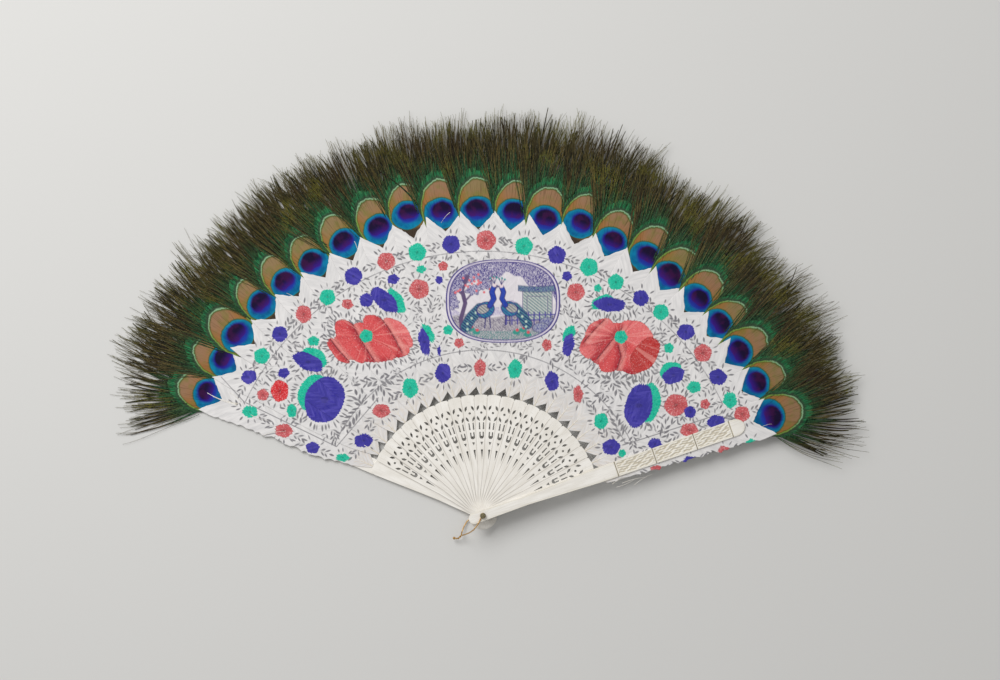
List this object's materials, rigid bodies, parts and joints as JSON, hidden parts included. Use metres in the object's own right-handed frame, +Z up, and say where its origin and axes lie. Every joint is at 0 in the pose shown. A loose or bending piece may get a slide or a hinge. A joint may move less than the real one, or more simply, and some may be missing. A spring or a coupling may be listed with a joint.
{
  "type": "feather fan",
  "caption": "Folding fan of pierced bone sticks on a rivet, with painted white feathers, peacock-eye feathers at the rim and a wire tassel loop; opens and closes.",
  "frame": {"origin": "middle of the flat under the rivet's lower head, on the pivot's axis", "axes": "+Z up along the pivot's axis towards the painted face, +Y up the open fan, +X to its right"},
  "size_m": [0.6895, 0.3875, 0.0239],
  "materials": {
    "bone": "polished bone, satin",
    "feather": "white feather vane, painted in body colour",
    "peacock": "iridescent peacock eye and barbs",
    "brass": "aged gilt brass"
  },
  "bodies": {
    "rear_blade": {"rear_guard": "bone", "feather_00": "feather", "pivot_rivet": "brass"},
    "blade_01": {"stick_01": "bone", "feather_01": "feather"},
    "blade_02": {"stick_02": "bone", "feather_02": "feather"},
    "blade_03": {"stick_03": "bone", "feather_03": "feather"},
    "blade_04": {"stick_04": "bone", "feather_04": "feather"},
    "blade_05": {"stick_05": "bone", "feather_05": "feather"},
    "blade_06": {"stick_06": "bone", "feather_06": "feather"},
    "blade_07": {"stick_07": "bone", "feather_07": "feather"},
    "blade_08": {"stick_08": "bone", "feather_08": "feather"},
    "blade_09": {"stick_09": "bone", "feather_09": "feather"},
    "blade_10": {"stick_10": "bone", "feather_10": "feather"},
    "blade_11": {"stick_11": "bone", "feather_11": "feather"},
    "blade_12": {"stick_12": "bone", "feather_12": "feather"},
    "blade_13": {"stick_13": "bone", "feather_13": "feather"},
    "blade_14": {"stick_14": "bone", "feather_14": "feather"},
    "blade_15": {"stick_15": "bone", "feather_15": "feather"},
    "blade_16": {"stick_16": "bone", "feather_16": "feather"},
    "blade_17": {"stick_17": "bone", "feather_17": "feather"},
    "blade_18": {"stick_18": "bone", "feather_18": "feather"},
    "blade_19": {"stick_19": "bone", "feather_19": "feather"},
    "blade_20": {"stick_20": "bone", "feather_20": "feather"},
    "front_blade": {"front_guard": "bone", "feather_21": "feather"},
    "loop": {"tassel_loop": "brass"}
  },
  "joints": [
    {"name": "fan_fold", "type": "hinge", "parent": "rear_blade", "child": "front_blade", "pos_m": [0, 0, 0], "axis": [0, 0, 1], "range_deg": [0, 137.2]},
    {"name": "blade_01_turn", "type": "hinge", "parent": "rear_blade", "child": "blade_01", "pos_m": [0, 0, 0], "axis": [0, 0, 1], "range_deg": [0, 6.54]},
    {"name": "blade_02_turn", "type": "hinge", "parent": "rear_blade", "child": "blade_02", "pos_m": [0, 0, 0], "axis": [0, 0, 1], "range_deg": [0, 13.07]},
    {"name": "blade_03_turn", "type": "hinge", "parent": "rear_blade", "child": "blade_03", "pos_m": [0, 0, 0], "axis": [0, 0, 1], "range_deg": [0, 19.6]},
    {"name": "blade_04_turn", "type": "hinge", "parent": "rear_blade", "child": "blade_04", "pos_m": [0, 0, 0], "axis": [0, 0, 1], "range_deg": [0, 26.14]},
    {"name": "blade_05_turn", "type": "hinge", "parent": "rear_blade", "child": "blade_05", "pos_m": [0, 0, 0], "axis": [0, 0, 1], "range_deg": [0, 32.67]},
    {"name": "blade_06_turn", "type": "hinge", "parent": "rear_blade", "child": "blade_06", "pos_m": [0, 0, 0], "axis": [0, 0, 1], "range_deg": [0, 39.2]},
    {"name": "blade_07_turn", "type": "hinge", "parent": "rear_blade", "child": "blade_07", "pos_m": [0, 0, 0], "axis": [0, 0, 1], "range_deg": [0, 45.74]},
    {"name": "blade_08_turn", "type": "hinge", "parent": "rear_blade", "child": "blade_08", "pos_m": [0, 0, 0], "axis": [0, 0, 1], "range_deg": [0, 52.27]},
    {"name": "blade_09_turn", "type": "hinge", "parent": "rear_blade", "child": "blade_09", "pos_m": [0, 0, 0], "axis": [0, 0, 1], "range_deg": [0, 58.8]},
    {"name": "blade_10_turn", "type": "hinge", "parent": "rear_blade", "child": "blade_10", "pos_m": [0, 0, 0], "axis": [0, 0, 1], "range_deg": [0, 65.34]},
    {"name": "blade_11_turn", "type": "hinge", "parent": "rear_blade", "child": "blade_11", "pos_m": [0, 0, 0], "axis": [0, 0, 1], "range_deg": [0, 71.87]},
    {"name": "blade_12_turn", "type": "hinge", "parent": "rear_blade", "child": "blade_12", "pos_m": [0, 0, 0], "axis": [0, 0, 1], "range_deg": [0, 78.4]},
    {"name": "blade_13_turn", "type": "hinge", "parent": "rear_blade", "child": "blade_13", "pos_m": [0, 0, 0], "axis": [0, 0, 1], "range_deg": [0, 84.94]},
    {"name": "blade_14_turn", "type": "hinge", "parent": "rear_blade", "child": "blade_14", "pos_m": [0, 0, 0], "axis": [0, 0, 1], "range_deg": [0, 91.47]},
    {"name": "blade_15_turn", "type": "hinge", "parent": "rear_blade", "child": "blade_15", "pos_m": [0, 0, 0], "axis": [0, 0, 1], "range_deg": [0, 98]},
    {"name": "blade_16_turn", "type": "hinge", "parent": "rear_blade", "child": "blade_16", "pos_m": [0, 0, 0], "axis": [0, 0, 1], "range_deg": [0, 104.54]},
    {"name": "blade_17_turn", "type": "hinge", "parent": "rear_blade", "child": "blade_17", "pos_m": [0, 0, 0], "axis": [0, 0, 1], "range_deg": [0, 111.07]},
    {"name": "blade_18_turn", "type": "hinge", "parent": "rear_blade", "child": "blade_18", "pos_m": [0, 0, 0], "axis": [0, 0, 1], "range_deg": [0, 117.6]},
    {"name": "blade_19_turn", "type": "hinge", "parent": "rear_blade", "child": "blade_19", "pos_m": [0, 0, 0], "axis": [0, 0, 1], "range_deg": [0, 124.14]},
    {"name": "blade_20_turn", "type": "hinge", "parent": "rear_blade", "child": "blade_20", "pos_m": [0, 0, 0], "axis": [0, 0, 1], "range_deg": [0, 130.67]},
    {"name": "loop_swing", "type": "hinge", "parent": "rear_blade", "child": "loop", "pos_m": [0, 0, 0], "axis": [0, 0, 1], "range_deg": [-25, 120]}
  ],
  "couplings": [
    {"joint": "blade_01_turn", "follows": "fan_fold", "ratio": 0.047619},
    {"joint": "blade_02_turn", "follows": "fan_fold", "ratio": 0.095238},
    {"joint": "blade_03_turn", "follows": "fan_fold", "ratio": 0.14286},
    {"joint": "blade_04_turn", "follows": "fan_fold", "ratio": 0.19048},
    {"joint": "blade_05_turn", "follows": "fan_fold", "ratio": 0.2381},
    {"joint": "blade_06_turn", "follows": "fan_fold", "ratio": 0.28571},
    {"joint": "blade_07_turn", "follows": "fan_fold", "ratio": 0.33333},
    {"joint": "blade_08_turn", "follows": "fan_fold", "ratio": 0.38095},
    {"joint": "blade_09_turn", "follows": "fan_fold", "ratio": 0.42857},
    {"joint": "blade_10_turn", "follows": "fan_fold", "ratio": 0.47619},
    {"joint": "blade_11_turn", "follows": "fan_fold", "ratio": 0.52381},
    {"joint": "blade_12_turn", "follows": "fan_fold", "ratio": 0.57143},
    {"joint": "blade_13_turn", "follows": "fan_fold", "ratio": 0.61905},
    {"joint": "blade_14_turn", "follows": "fan_fold", "ratio": 0.66667},
    {"joint": "blade_15_turn", "follows": "fan_fold", "ratio": 0.71429},
    {"joint": "blade_16_turn", "follows": "fan_fold", "ratio": 0.7619},
    {"joint": "blade_17_turn", "follows": "fan_fold", "ratio": 0.80952},
    {"joint": "blade_18_turn", "follows": "fan_fold", "ratio": 0.85714},
    {"joint": "blade_19_turn", "follows": "fan_fold", "ratio": 0.90476},
    {"joint": "blade_20_turn", "follows": "fan_fold", "ratio": 0.95238}
  ]
}
